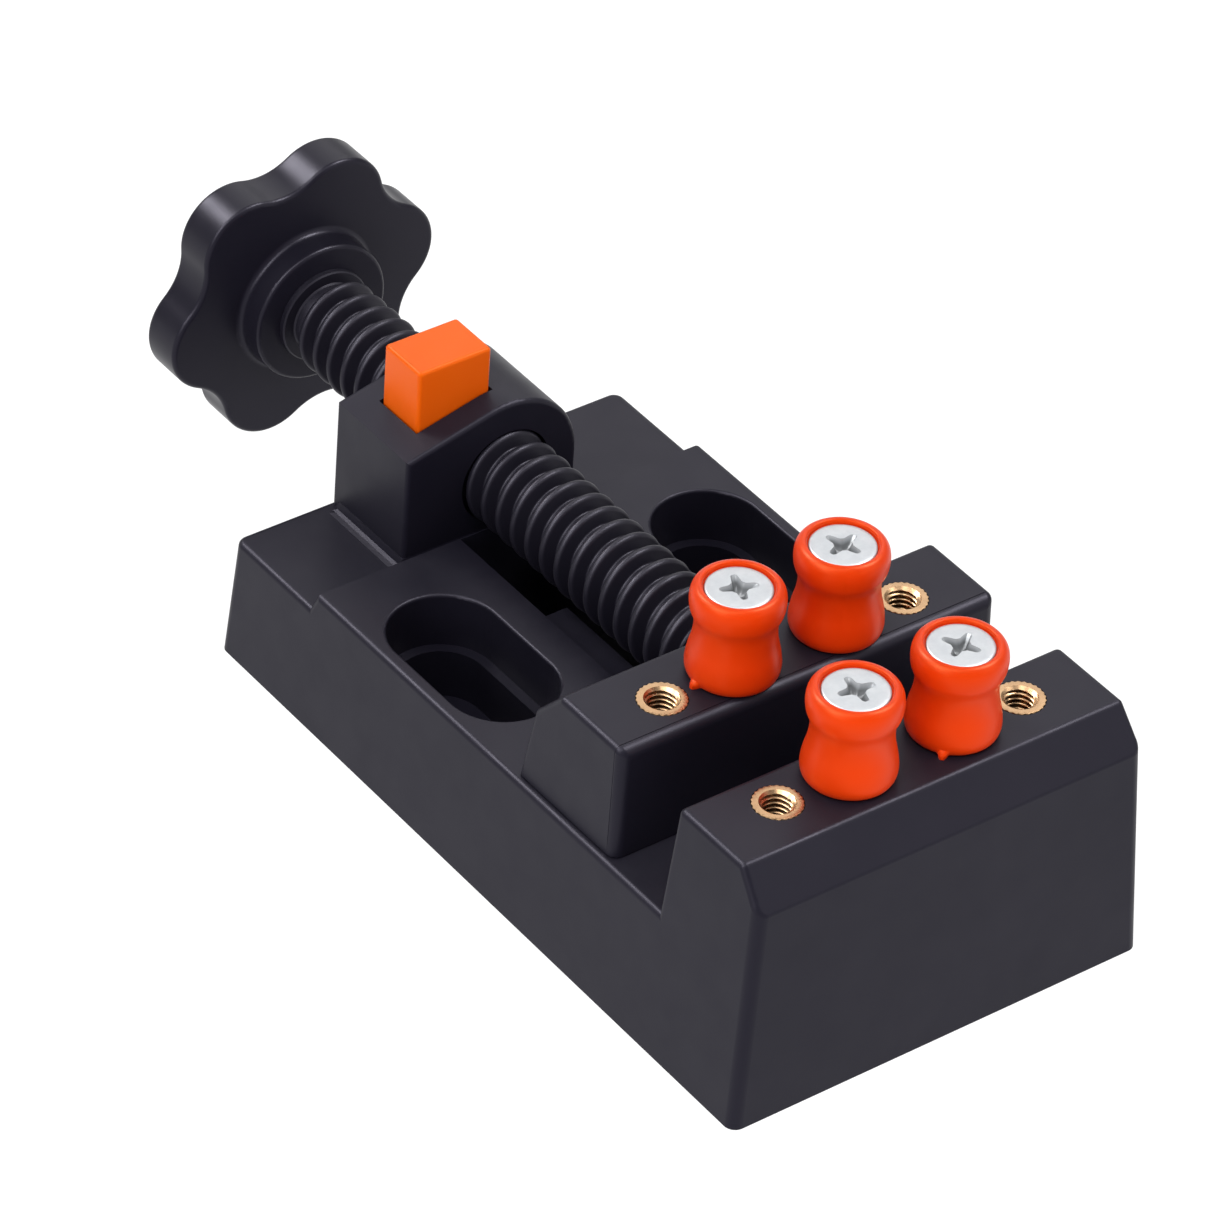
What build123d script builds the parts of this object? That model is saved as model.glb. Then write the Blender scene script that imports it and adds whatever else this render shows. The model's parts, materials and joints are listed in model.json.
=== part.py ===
from build123d import *
import math
import os

# Frame: origin at the centre of the base's bottom face, +Z up, +Y from the
# fixed jaw towards the hand knob.  All sizes are millimetres.

# ---- base ----
BASE_WIDTH = 60.0
BASE_LENGTH = 104.7
BASE_FRONT_Y = -BASE_LENGTH / 2
BASE_REAR_Y = BASE_LENGTH / 2
SIDE_LEAN = 0.0725  # inward lean of the long sides per millimetre of height
REAR_FACE_INSET = 0.8
REAR_DECK_Z = 16.65
FRONT_DECK_Z = 19.3
STEP_FRONT_Y = 34.2
STEP_REAR_Y = 35.5
CORNER_R = 1.5
EDGE_R = 0.8
WALL = 2.8
RIB = 1.6
DECK_THICKNESS = 3.3
DECK_CELLS_FRONT_Y = -32.6
DECK_CELL_PITCH = 13.4
DECK_CELL_ROWS = 5
FIXED_CELL_TOP_Z = 23.0
CELL_SPLIT_X = 20.6

# ---- fixed jaw ----
JAW_TOP_Z = 34.8
FIXED_FACE_TOP_Y = -35.2
FIXED_FACE_FOOT_Y = -34.4
FIXED_TOP_FRONT_Y = -47.0
FIXED_CHAMFER_Y = -51.0
FIXED_CHAMFER_Z = 29.8

# ---- moving jaw ----
SLIDE_GAP = 0.15
MOVING_HALF_FOOT = 27.65
MOVING_HALF_TOP = 27.2
MOVING_FACE_FOOT_Y = -24.5
MOVING_FACE_TOP_Y = -24.1
MOVING_TOP_REAR_Y = -12.15
MOVING_CHAMFER_Y = -7.7
MOVING_CHAMFER_Z = 29.9
MOVING_REAR_FOOT_Y = -5.8
MOVING_FRONT_EDGE_R = 1.4
POCKET_TOP_Z = 25.5

# ---- guide slot in the deck and the jaw's keel ----
GUIDE_HALF = 7.7
GUIDE_DEPTH = 0.7
GUIDE_FRONT_Y = -33.0
TIE_RIB_TOP_Z = 5.0
LEDGE_REAR_Y = 17.1
WINDOW_REAR_Y = 34.0
RIB_GAP = 0.2
NECK_SLOT_HALF = 4.0
NECK_HALF = 3.75
KEEL_HALF = 7.2
KEEL_TOP_Z = 15.3
KEEL_BOTTOM_Z = 12.0
KEEL_FRONT_Y = -22.5
KEEL_REAR_Y = -7.6

# ---- screw ----
SCREW_Z = 24.8
PITCH = 3.0
CREST_R = 6.2
CORE_R = 4.9
RIDGE_ROOT_R = 4.7  # the ridge starts a little inside the core
CREST_WIDTH = 0.8
FLANK_SPREAD = 0.7  # growth of the ridge's width per millimetre towards the core
RIDGE_FRONT_Y = -6.0
RIDGE_TURNS = 26
SHOULDER_Y = -7.6
JOURNAL_R = 4.0
JOURNAL_FRONT_Y = -15.8
NECK_R = 2.8
RETAINER_FRONT_Y = -13.3
RETAINER_THICKNESS = 1.0
RETAINER_HALF = 5.2
RETAINER_BOTTOM_Z = 19.8
RETAINER_TOP_Z = 29.0
AXIAL_GAP = 0.1
RUNNING_GAP = 0.06
BORE_GAP = 0.25

# ---- screw housing ----
HOUSING_FRONT_Y = 35.9
HOUSING_REAR_Y = 51.0
HOUSING_LEFT_X = -14.7
HOUSING_LEAN = 0.2
HOUSING_LEFT_TOP_Z = 32.2
HOUSING_R = 10.6
HOUSING_FOOT_Z = 12.0
HOUSING_EDGE_R = 0.6
FOOT_Z = (0.0, 0.15, 0.45, 1.3)  # flare at the housing's foot, above the rear deck
FOOT_REACH = (1.3, 0.7, 0.32, 0.0)

# ---- release button and half nut ----
BUTTON_LEFT_X = -10.8
BUTTON_RIGHT_X = -0.2
BUTTON_FRONT_Y = 39.75
BUTTON_REAR_Y = 47.15
BUTTON_TOP_Z = 41.6
BUTTON_STEP_Z = 31.0
BUTTON_TRAVEL = 3.0
BUTTON_EDGE_R = 0.5
BUTTON_GAP = 0.25
STEM_RIGHT_X = -6.9
NUT_RIGHT_X = 7.1
NUT_TOP_Z = 22.4
NUT_BOTTOM_Z = 13.6
NUT_MAJOR_R = 6.35
NUT_MINOR_R = 5.15
NUT_RIDGE_ROOT_R = 6.65
NUT_CLEARANCE = 0.4  # taken off the width of the groove
NUT_START_TURN = 13
NUT_TURNS = 5
HOUSING_MIDDLE_Y = (BUTTON_FRONT_Y + BUTTON_REAR_Y) / 2

# ---- spring and its cover ----
SPRING_X = -1.85
SPRING_R = 2.6
SPRING_WIRE_R = 0.3
SPRING_TURNS = 5.5
COVER_X = -1.85
COVER_HALF_X = 14.2
COVER_HALF_Y = 6.0
COVER_BOTTOM_Z = 3.2
COVER_TOP_Z = 5.0
COVER_GAP = 0.15
COVER_SCREW_SPAN = 23.2
COVER_SCREW_LENGTH = 8.0
COVER_SCREW_R = 1.2
COVER_PILOT_R = 1.22
COVER_HEAD_R = 2.1
COVER_HEAD_HEIGHT = 1.3
COVER_SCREW_HOLE_R = 1.35
COVER_CORNER_R = 1.5
SPRING_PIN_R = 1.9
SPRING_PIN_HEIGHT = 2.0

# ---- brass inserts, pegs and peg screws ----
INSERT_R = 3.1
INSERT_LENGTH = 8.0
INSERT_MINOR_R = 1.65
INSERT_MOUTH_R = 2.3
INSERT_MOUTH_DEPTH = 0.65
INSERT_SUMP = 1.0
FIXED_ROW_Y = -40.4
MOVING_ROW_Y = -18.6
FREE_INSERT_X = 17.5
PEG_X = 7.5
PEG_HEIGHT = 12.4
PEG_RIM_R = 4.75
PEG_FLANGE_R = 5.65
PEG_FLANGE_TOP_Z = 11.3
PEG_FLANGE_FOOT_Z = 10.0
PEG_WAIST_R = 4.88
PEG_WAIST_Z = 6.4
PEG_BARREL_R = 5.65
PEG_BARREL_TOP_Z = 2.0
PEG_BARREL_FOOT_Z = 1.2
PEG_FOOT_R = 5.0
PEG_BORE_R = 2.15
PEG_RECESS_R = 4.2
HEAD_R = 4.1
HEAD_TOP_Z = 12.05
HEAD_EDGE = 0.3
HEAD_FOOT_Z = 9.6
SHANK_R = 2.0
TAP_R = 1.6
TAP_DEPTH = 6.5
RECESS_ARM = 4.6
RECESS_WIDTH = 1.1
RECESS_DEPTH = 1.9
RECESS_TAPER = 12.0

# ---- knob ----
KNOB_HUB_FRONT_Y = 75.4
KNOB_FACE_Y = 79.2
KNOB_REAR_Y = 85.3
KNOB_TIP_R = 19.7
KNOB_VALLEY_R = 16.6
KNOB_LOBE_R = 7.0
KNOB_LOBES = 6
KNOB_PHASE = 9.0
KNOB_EDGE_R = 0.6
HUB_R = 9.6
HUB_EDGE_R = 0.5
HUB_FOOT_R = 0.8
COLLAR_R = 6.4
COLLAR_LENGTH = 0.9
TAIL_R = 3.45
TAIL_REAR_Y = 82.0
TAIL_FLAT = 2.6
KNOB_RECESS_R = 5.0
KNOB_RECESS_Y = 82.8
KNOB_SCREW_R = 1.45
KNOB_SCREW_FRONT_Y = 70.0
KNOB_SCREW_HEAD_R = 3.6
KNOB_SCREW_HEAD = 1.8

# ---- bench slots ----
BENCH_X = 19.6
BENCH_FRONT_Y = 8.9
BENCH_REAR_Y = 20.3
BENCH_POCKET_R = 7.05
BENCH_LEDGE_Z = 11.8
BENCH_WELL_R = 5.7
BENCH_FLOOR_Z = 5.0
BENCH_HOLE_R = 2.6
BENCH_BOSS_R = 8.7
BENCH_RIM_R = 0.4

os.makedirs("parts", exist_ok=True)


def save(piece, name):
    """Label one finished piece and write it as its own STEP file."""
    piece.part.label = name
    export_step(piece.part, "parts/" + name + ".step")


def half_width(z):
    """Half of the base's width at height z."""
    return BASE_WIDTH / 2 - SIDE_LEAN * z


def facing_front(y, z=SCREW_Z):
    """Plane across the object at station y, seen from the front, with its origin at height z."""
    return Plane(origin=(0, y, z), x_dir=(1, 0, 0), z_dir=(0, -1, 0))


def drum(front_y, rear_y, radius, mode=Mode.ADD):
    """Cylinder about the screw axis between two stations."""
    with BuildSketch(facing_front(rear_y)) as end:
        Circle(radius)
    extrude(end.sketch, amount=rear_y - front_y, mode=mode)


def block(low, high, mode=Mode.ADD):
    """Box given by its lowest and highest corners."""
    size = [b - a for a, b in zip(low, high)]
    with Locations(low):
        Box(*size, align=(Align.MIN, Align.MIN, Align.MIN), mode=mode)


def ridge_width(radius):
    """Width of the screw's ridge at a radius."""
    return CREST_WIDTH + FLANK_SPREAD * (CREST_R - radius)


def helical_ridge(start_y, turns, inner_r, outer_r, inner_width, outer_width):
    """Right-hand ridge of trapezoidal section about the screw axis."""
    half_depth = (outer_r - inner_r) / 2
    with BuildPart() as ridge:
        with BuildLine() as path:
            Helix(
                PITCH,
                turns * PITCH,
                (inner_r + outer_r) / 2,
                center=(0, start_y, SCREW_Z),
                direction=(0, 1, 0),
            )
        start = path.line @ 0
        outward = Vector(start.X, 0, start.Z - SCREW_Z).normalized()
        with BuildSketch(Plane(origin=start, x_dir=outward, z_dir=path.line % 0)):
            with BuildLine():
                Polyline(
                    (-half_depth, -inner_width / 2),
                    (half_depth, -outer_width / 2),
                    (half_depth, outer_width / 2),
                    (-half_depth, inner_width / 2),
                    close=True,
                )
            make_face()
        sweep(path=path.line, is_frenet=True)
    return ridge.part


def stadium(centre_x, radius):
    """Oblong outline of one bench slot, added to the current sketch."""
    with Locations((centre_x, (BENCH_REAR_Y + BENCH_FRONT_Y) / 2)):
        SlotCenterToCenter(BENCH_REAR_Y - BENCH_FRONT_Y, 2 * radius, rotation=90)


def insert_places(row_y):
    """The four insert centres of one jaw, left to right."""
    return [(x, row_y) for x in (-FREE_INSERT_X, -PEG_X, PEG_X, FREE_INSERT_X)]


def cut_insert_holes(row_y):
    """Blind holes for one jaw's brass inserts, with a sump below each."""
    for top_z, radius, depth in (
        (JAW_TOP_Z, INSERT_R, INSERT_LENGTH),
        (JAW_TOP_Z - INSERT_LENGTH, INSERT_MOUTH_R, INSERT_SUMP),
    ):
        with BuildSketch(Plane.XY.offset(top_z)) as holes:
            with Locations(*insert_places(row_y)):
                Circle(radius)
        extrude(holes.sketch, amount=-depth, mode=Mode.SUBTRACT)


def cover_screw_places(z):
    """Centres of the two spring cover screws at height z."""
    half_span = COVER_SCREW_SPAN / 2
    return [(COVER_X + side * half_span, HOUSING_MIDDLE_Y, z) for side in (-1, 1)]


# ------------------------------------------------------------------ base body
def base_outline():
    """Long section of the base: fixed jaw, front deck, step and rear deck."""
    Polyline(
        (BASE_FRONT_Y, 0),
        (BASE_REAR_Y, 0),
        (BASE_REAR_Y - REAR_FACE_INSET, REAR_DECK_Z),
        (STEP_REAR_Y, REAR_DECK_Z),
        (STEP_FRONT_Y, FRONT_DECK_Z),
        (FIXED_FACE_FOOT_Y, FRONT_DECK_Z),
        (FIXED_FACE_TOP_Y, JAW_TOP_Z),
        (FIXED_TOP_FRONT_Y, JAW_TOP_Z),
        (FIXED_CHAMFER_Y, FIXED_CHAMFER_Z),
        close=True,
    )


def round_side(angle):
    """Point of the housing's round side at an angle from +X, about the screw axis."""
    return (HOUSING_R * math.cos(angle), HOUSING_R * math.sin(angle))


def housing_outline():
    """Cross-section of the screw housing: square button side, round screw side."""
    rise = HOUSING_LEFT_TOP_Z - SCREW_Z
    reach = math.hypot(HOUSING_LEFT_X, rise)
    tangent_angle = math.atan2(rise, HOUSING_LEFT_X) - math.acos(HOUSING_R / reach)
    foot = HOUSING_FOOT_Z - SCREW_Z
    ThreePointArc(round_side(tangent_angle), round_side(tangent_angle / 2), round_side(0))
    Polyline(
        round_side(0),
        (HOUSING_R, foot),
        (HOUSING_LEFT_X - HOUSING_LEAN, foot),
        (HOUSING_LEFT_X, rise),
        round_side(tangent_angle),
    )


def cut_underside():
    """Hollow the moulding from below, leaving a grid of ribs."""
    deck_top = FRONT_DECK_Z - DECK_THICKNESS
    rows = [(BASE_FRONT_Y + WALL, FIXED_FACE_FOOT_Y - WALL, FIXED_CELL_TOP_Z)]
    for index in range(DECK_CELL_ROWS):
        front_y = DECK_CELLS_FRONT_Y + index * DECK_CELL_PITCH
        rows.append((front_y, front_y + DECK_CELL_PITCH - RIB, deck_top))
    inner_x = GUIDE_HALF + RIB
    outer_x = BASE_WIDTH / 2 - WALL - RIB
    for front_y, rear_y, top_z in rows:
        for side in (-1, 1):
            for near_x, far_x in ((inner_x, CELL_SPLIT_X - RIB), (CELL_SPLIT_X, outer_x)):
                low_x, high_x = sorted((side * near_x, side * far_x))
                block((low_x, front_y, 0), (high_x, rear_y, top_z), Mode.SUBTRACT)
    front_y, rear_y, top_z = rows[0]
    for side in (-1, 1):
        low_x, high_x = sorted((side * RIB / 2, side * GUIDE_HALF))
        block((low_x, front_y, 0), (high_x, rear_y, top_z), Mode.SUBTRACT)
    rear_top = REAR_DECK_Z - DECK_THICKNESS
    for side in (-1, 1):
        low_x, high_x = sorted((side * CELL_SPLIT_X, side * outer_x))
        block((low_x, STEP_REAR_Y, 0), (high_x, BASE_REAR_Y - WALL, rear_top), Mode.SUBTRACT)


def add_bench_bosses():
    """Solid oblong posts around the two bench slots."""
    with BuildSketch(Plane.XY) as posts:
        for side in (-1, 1):
            stadium(side * BENCH_X, BENCH_BOSS_R)
    extrude(posts.sketch, amount=FRONT_DECK_Z - RIB)


def cut_bench_slots():
    """Oblong pocket, well and screw slot on each side of the deck."""
    for top_z, radius, depth in (
        (FRONT_DECK_Z, BENCH_POCKET_R, FRONT_DECK_Z - BENCH_LEDGE_Z),
        (BENCH_LEDGE_Z, BENCH_WELL_R, BENCH_LEDGE_Z - BENCH_FLOOR_Z),
        (BENCH_FLOOR_Z, BENCH_HOLE_R, BENCH_FLOOR_Z),
    ):
        with BuildSketch(Plane.XY.offset(top_z)) as slots:
            for side in (-1, 1):
                stadium(side * BENCH_X, radius)
        extrude(slots.sketch, amount=-depth, mode=Mode.SUBTRACT)


def cut_guide():
    """Guide recess, neck slot, keel channel with a tie rib, and assembly window."""
    for half, rear_y, low_z, high_z in (
        (GUIDE_HALF, WINDOW_REAR_Y, FRONT_DECK_Z - GUIDE_DEPTH, JAW_TOP_Z),
        (NECK_SLOT_HALF, WINDOW_REAR_Y, 0, FRONT_DECK_Z),
        (GUIDE_HALF, WINDOW_REAR_Y, 0, KEEL_TOP_Z + SLIDE_GAP),
    ):
        block((-half, GUIDE_FRONT_Y, low_z), (half, rear_y, high_z), Mode.SUBTRACT)
    block((-GUIDE_HALF, LEDGE_REAR_Y, 0), (GUIDE_HALF, WINDOW_REAR_Y, JAW_TOP_Z), Mode.SUBTRACT)
    block((-GUIDE_HALF, -RIB / 2, 0), (GUIDE_HALF, RIB / 2, TIE_RIB_TOP_Z))


def cut_release_shaft():
    """Shaft for the button and half nut, seat and screw holes of the spring cover."""
    front_y = BUTTON_FRONT_Y - BUTTON_GAP
    rear_y = BUTTON_REAR_Y + BUTTON_GAP
    left_x = BUTTON_LEFT_X - BUTTON_GAP
    for right_x, top_z in (
        (BUTTON_RIGHT_X + BUTTON_GAP, BUTTON_TOP_Z),
        (NUT_RIGHT_X + BUTTON_GAP, SCREW_Z),
    ):
        block((left_x, front_y, 0), (right_x, rear_y, top_z), Mode.SUBTRACT)
    half_x = COVER_HALF_X + COVER_GAP
    half_y = COVER_HALF_Y + COVER_GAP
    block(
        (COVER_X - half_x, HOUSING_MIDDLE_Y - half_y, 0),
        (COVER_X + half_x, HOUSING_MIDDLE_Y + half_y, COVER_TOP_Z),
        Mode.SUBTRACT,
    )
    with Locations(*cover_screw_places(COVER_TOP_Z)):
        Cylinder(
            COVER_PILOT_R,
            COVER_SCREW_LENGTH,
            align=(Align.CENTER, Align.CENTER, Align.MIN),
            mode=Mode.SUBTRACT,
        )


with BuildPart() as housing:
    with BuildSketch(facing_front(HOUSING_REAR_Y)):
        with BuildLine():
            housing_outline()
        make_face()
    extrude(amount=HOUSING_REAR_Y - HOUSING_FRONT_Y)
    roof_corner = housing.edges().filter_by(Axis.Y).group_by(Axis.X)[0].sort_by(Axis.Z)[-1]
    fillet(roof_corner, radius=HOUSING_EDGE_R)
    ends = housing.edges().group_by(Axis.Y)
    fillet(ends[0] + ends[-1], radius=HOUSING_EDGE_R)
    for low_z, low_reach, high_z, high_reach in zip(FOOT_Z, FOOT_REACH, FOOT_Z[1:], FOOT_REACH[1:]):
        with BuildSketch(Plane.XY.offset(REAR_DECK_Z + low_z)):
            with BuildLine():
                Polyline(
                    (HOUSING_LEFT_X - HOUSING_LEAN - low_reach, HOUSING_FRONT_Y - low_reach),
                    (HOUSING_R + low_reach, HOUSING_FRONT_Y - low_reach),
                    (HOUSING_R + low_reach, HOUSING_REAR_Y - FOOT_REACH[0]),
                    (HOUSING_LEFT_X - HOUSING_LEAN - low_reach, HOUSING_REAR_Y - FOOT_REACH[0]),
                    close=True,
                )
            make_face()
        lean = math.degrees(math.atan2(low_reach - high_reach, high_z - low_z))
        extrude(amount=high_z - low_z, taper=lean)

with BuildPart() as base_body:
    with BuildSketch(Plane.YZ):
        with BuildLine():
            base_outline()
        make_face()
    extrude(amount=BASE_WIDTH / 2, both=True)
    with BuildSketch(Plane.XZ):
        with BuildLine():
            Polyline(
                (-BASE_WIDTH / 2, 0),
                (BASE_WIDTH / 2, 0),
                (half_width(JAW_TOP_Z), JAW_TOP_Z),
                (-half_width(JAW_TOP_Z), JAW_TOP_Z),
                close=True,
            )
        make_face()
    extrude(amount=BASE_LENGTH, both=True, mode=Mode.INTERSECT)
    steep = base_body.edges().filter_by(lambda e: abs(e.tangent_at(0.5).Z) > 0.8)
    corners = steep.filter_by(lambda e: abs(e.center().X) > PEG_X).sort_by(Axis.Y)
    fillet(corners[:2] + corners[-2:], radius=CORNER_R)
    upper = base_body.edges().filter_by(lambda e: e.center().Z > REAR_DECK_Z - EDGE_R)
    inner_feet = upper.filter_by(lambda e: abs(e.center().X) < 1).filter_by(
        lambda e: FIXED_FACE_FOOT_Y - 0.1 < e.center().Y < STEP_REAR_Y + 0.1
    )
    fillet(upper - inner_feet, radius=EDGE_R)
    add(housing.part)
    cut_underside()
    add_bench_bosses()
    cut_bench_slots()
    rims = base_body.edges().filter_by(
        lambda e: abs(e.center().Z - FRONT_DECK_Z) < 0.01
        and abs(abs(e.center().X) - BENCH_X) < BENCH_POCKET_R + 0.1
        and BENCH_FRONT_Y - BENCH_POCKET_R < e.center().Y < BENCH_REAR_Y + BENCH_POCKET_R
    )
    fillet(rims, radius=BENCH_RIM_R)
    cut_guide()
    cut_insert_holes(FIXED_ROW_Y)
    drum(WINDOW_REAR_Y - 1, HOUSING_REAR_Y + 1, CREST_R + BORE_GAP, Mode.SUBTRACT)
    cut_release_shaft()

save(base_body, "base_body")


# ----------------------------------------------------------------- moving jaw
def moving_outline():
    """Section of the moving jaw above the deck, with its sloped rear shoulder."""
    foot_z = FRONT_DECK_Z + SLIDE_GAP
    Polyline(
        (MOVING_FACE_FOOT_Y, foot_z),
        (MOVING_REAR_FOOT_Y, foot_z),
        (MOVING_CHAMFER_Y, MOVING_CHAMFER_Z),
        (MOVING_TOP_REAR_Y, JAW_TOP_Z),
        (MOVING_FACE_TOP_Y, JAW_TOP_Z),
        close=True,
    )


def add_keel():
    """Guide rib, neck and T-shaped keel that run in the base slot."""
    foot_z = FRONT_DECK_Z + SLIDE_GAP
    rib_bottom = FRONT_DECK_Z - GUIDE_DEPTH + SLIDE_GAP
    rib_half = GUIDE_HALF - RIB_GAP
    block((-rib_half, KEEL_FRONT_Y, rib_bottom), (rib_half, KEEL_REAR_Y, foot_z))
    block((-NECK_HALF, KEEL_FRONT_Y, KEEL_BOTTOM_Z), (NECK_HALF, KEEL_REAR_Y, foot_z))
    block((-KEEL_HALF, KEEL_FRONT_Y, KEEL_BOTTOM_Z), (KEEL_HALF, KEEL_REAR_Y, KEEL_TOP_Z))


def cut_moving_pockets():
    """Two pockets that thin the jaw's ends from below."""
    for side in (-1, 1):
        low_x, high_x = sorted((side * (GUIDE_HALF + WALL), side * (MOVING_HALF_TOP - WALL)))
        block(
            (low_x, MOVING_FACE_FOOT_Y + WALL, 0),
            (high_x, MOVING_CHAMFER_Y - WALL, POCKET_TOP_Z),
            Mode.SUBTRACT,
        )


def cut_screw_socket():
    """Thrust seat, journal bore and retainer slit in the moving jaw."""
    drum(SHOULDER_Y - AXIAL_GAP, 0, CREST_R + BORE_GAP, Mode.SUBTRACT)
    drum(JOURNAL_FRONT_Y - AXIAL_GAP, 0, JOURNAL_R + RUNNING_GAP, Mode.SUBTRACT)
    block(
        (-RETAINER_HALF - RUNNING_GAP, RETAINER_FRONT_Y - RUNNING_GAP, 0),
        (
            RETAINER_HALF + RUNNING_GAP,
            RETAINER_FRONT_Y + RETAINER_THICKNESS + RUNNING_GAP,
            RETAINER_TOP_Z + RUNNING_GAP,
        ),
        Mode.SUBTRACT,
    )


with BuildPart() as moving_jaw:
    with BuildSketch(Plane.YZ):
        with BuildLine():
            moving_outline()
        make_face()
    extrude(amount=MOVING_HALF_FOOT, both=True)
    with BuildSketch(Plane.XZ):
        with BuildLine():
            Polyline(
                (-MOVING_HALF_FOOT, FRONT_DECK_Z + SLIDE_GAP),
                (MOVING_HALF_FOOT, FRONT_DECK_Z + SLIDE_GAP),
                (MOVING_HALF_TOP, JAW_TOP_Z),
                (-MOVING_HALF_TOP, JAW_TOP_Z),
                close=True,
            )
        make_face()
    extrude(amount=BASE_LENGTH, both=True, mode=Mode.INTERSECT)
    grip_edges = moving_jaw.edges().filter_by(
        lambda e: e.center().Y < MOVING_FACE_TOP_Y + EDGE_R and e.center().Z > FRONT_DECK_Z + 1
    )
    fillet(grip_edges, radius=MOVING_FRONT_EDGE_R)
    other_edges = moving_jaw.edges().filter_by(
        lambda e: e.center().Y > MOVING_FACE_TOP_Y + 2 and e.center().Z > FRONT_DECK_Z + 1
    )
    fillet(other_edges, radius=EDGE_R)
    cut_moving_pockets()
    add_keel()
    cut_insert_holes(MOVING_ROW_Y)
    cut_screw_socket()

save(moving_jaw, "moving_jaw")


# ----------------------------------------------------------- screw and its clip
with BuildPart() as lead_screw:
    drum(SHOULDER_Y, KNOB_HUB_FRONT_Y - COLLAR_LENGTH, CORE_R)
    add(
        helical_ridge(
            RIDGE_FRONT_Y,
            RIDGE_TURNS,
            RIDGE_ROOT_R,
            CREST_R,
            ridge_width(RIDGE_ROOT_R),
            ridge_width(CREST_R),
        )
    )
    drum(KNOB_HUB_FRONT_Y - COLLAR_LENGTH, KNOB_HUB_FRONT_Y, COLLAR_R)
    drum(KNOB_HUB_FRONT_Y, TAIL_REAR_Y, TAIL_R)
    drum(JOURNAL_FRONT_Y, SHOULDER_Y, JOURNAL_R)
    neck_front = RETAINER_FRONT_Y - AXIAL_GAP
    neck_rear = RETAINER_FRONT_Y + RETAINER_THICKNESS + AXIAL_GAP
    drum(neck_front, neck_rear, JOURNAL_R, Mode.SUBTRACT)
    drum(neck_front, neck_rear, NECK_R)
    block(
        (-TAIL_R, KNOB_HUB_FRONT_Y, SCREW_Z + TAIL_FLAT),
        (TAIL_R, TAIL_REAR_Y, SCREW_Z + TAIL_R),
        Mode.SUBTRACT,
    )
    drum(KNOB_SCREW_FRONT_Y, TAIL_REAR_Y, KNOB_SCREW_R, Mode.SUBTRACT)

save(lead_screw, "lead_screw")

with BuildPart() as screw_retainer:
    block(
        (-RETAINER_HALF, RETAINER_FRONT_Y, RETAINER_BOTTOM_Z),
        (RETAINER_HALF, RETAINER_FRONT_Y + RETAINER_THICKNESS, RETAINER_TOP_Z),
    )
    slot_r = NECK_R + RUNNING_GAP
    drum(RETAINER_FRONT_Y, RETAINER_FRONT_Y + RETAINER_THICKNESS, slot_r, Mode.SUBTRACT)
    block(
        (-slot_r, RETAINER_FRONT_Y, SCREW_Z),
        (slot_r, RETAINER_FRONT_Y + RETAINER_THICKNESS, RETAINER_TOP_Z),
        Mode.SUBTRACT,
    )

save(screw_retainer, "screw_retainer")


# ----------------------------------------------------------------------- knob
def about_axis(radius, degrees):
    """Point at a radius and angle about the screw axis."""
    angle = math.radians(degrees)
    return Vector(radius * math.cos(angle), radius * math.sin(angle))


def knob_outline():
    """Six lobes joined by tangent hollows."""
    half_step = 180 / KNOB_LOBES
    lobe_d = KNOB_TIP_R - KNOB_LOBE_R
    reach = lobe_d * math.cos(math.radians(half_step))
    spread = lobe_d**2 + KNOB_VALLEY_R**2 - 2 * reach * KNOB_VALLEY_R - KNOB_LOBE_R**2
    hollow_r = spread / (2 * (KNOB_LOBE_R - KNOB_VALLEY_R + reach))
    hollow_d = KNOB_VALLEY_R + hollow_r
    for lobe in range(KNOB_LOBES):
        at = KNOB_PHASE + 2 * half_step * lobe
        lobe_centre = about_axis(lobe_d, at)
        before = about_axis(hollow_d, at - half_step) - lobe_centre
        after = about_axis(hollow_d, at + half_step) - lobe_centre
        start = lobe_centre + before.normalized() * KNOB_LOBE_R
        end = lobe_centre + after.normalized() * KNOB_LOBE_R
        next_centre = about_axis(lobe_d, at + 2 * half_step)
        next_before = about_axis(hollow_d, at + half_step) - next_centre
        next_start = next_centre + next_before.normalized() * KNOB_LOBE_R
        ThreePointArc(start, about_axis(KNOB_TIP_R, at), end)
        ThreePointArc(end, about_axis(KNOB_VALLEY_R, at + half_step), next_start)


with BuildPart() as knob:
    with BuildSketch(facing_front(KNOB_REAR_Y)):
        with BuildLine():
            knob_outline()
        make_face()
    extrude(amount=KNOB_REAR_Y - KNOB_FACE_Y)
    fillet(knob.edges().filter_by(lambda e: e.length > 1).group_by(Axis.Y)[0], radius=KNOB_EDGE_R)
    fillet(knob.edges().group_by(Axis.Y)[-1], radius=KNOB_EDGE_R)
    drum(KNOB_HUB_FRONT_Y, KNOB_FACE_Y, HUB_R)
    circles = knob.edges().filter_by(GeomType.CIRCLE)
    hub_foot = circles.filter_by(lambda e: abs(e.radius - HUB_R) < 0.01).sort_by(Axis.Y)
    fillet(hub_foot[-1], radius=HUB_FOOT_R)
    fillet(knob.edges().group_by(Axis.Y)[0], radius=HUB_EDGE_R)
    drum(KNOB_HUB_FRONT_Y, TAIL_REAR_Y + AXIAL_GAP, TAIL_R + RUNNING_GAP, Mode.SUBTRACT)
    block(
        (-TAIL_R, KNOB_HUB_FRONT_Y, SCREW_Z + TAIL_FLAT + RUNNING_GAP),
        (TAIL_R, TAIL_REAR_Y + AXIAL_GAP, SCREW_Z + TAIL_R + RIB),
    )
    drum(KNOB_HUB_FRONT_Y, KNOB_REAR_Y, KNOB_SCREW_R + BORE_GAP, Mode.SUBTRACT)
    drum(KNOB_RECESS_Y, KNOB_REAR_Y, KNOB_RECESS_R, Mode.SUBTRACT)

save(knob, "knob")

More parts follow.
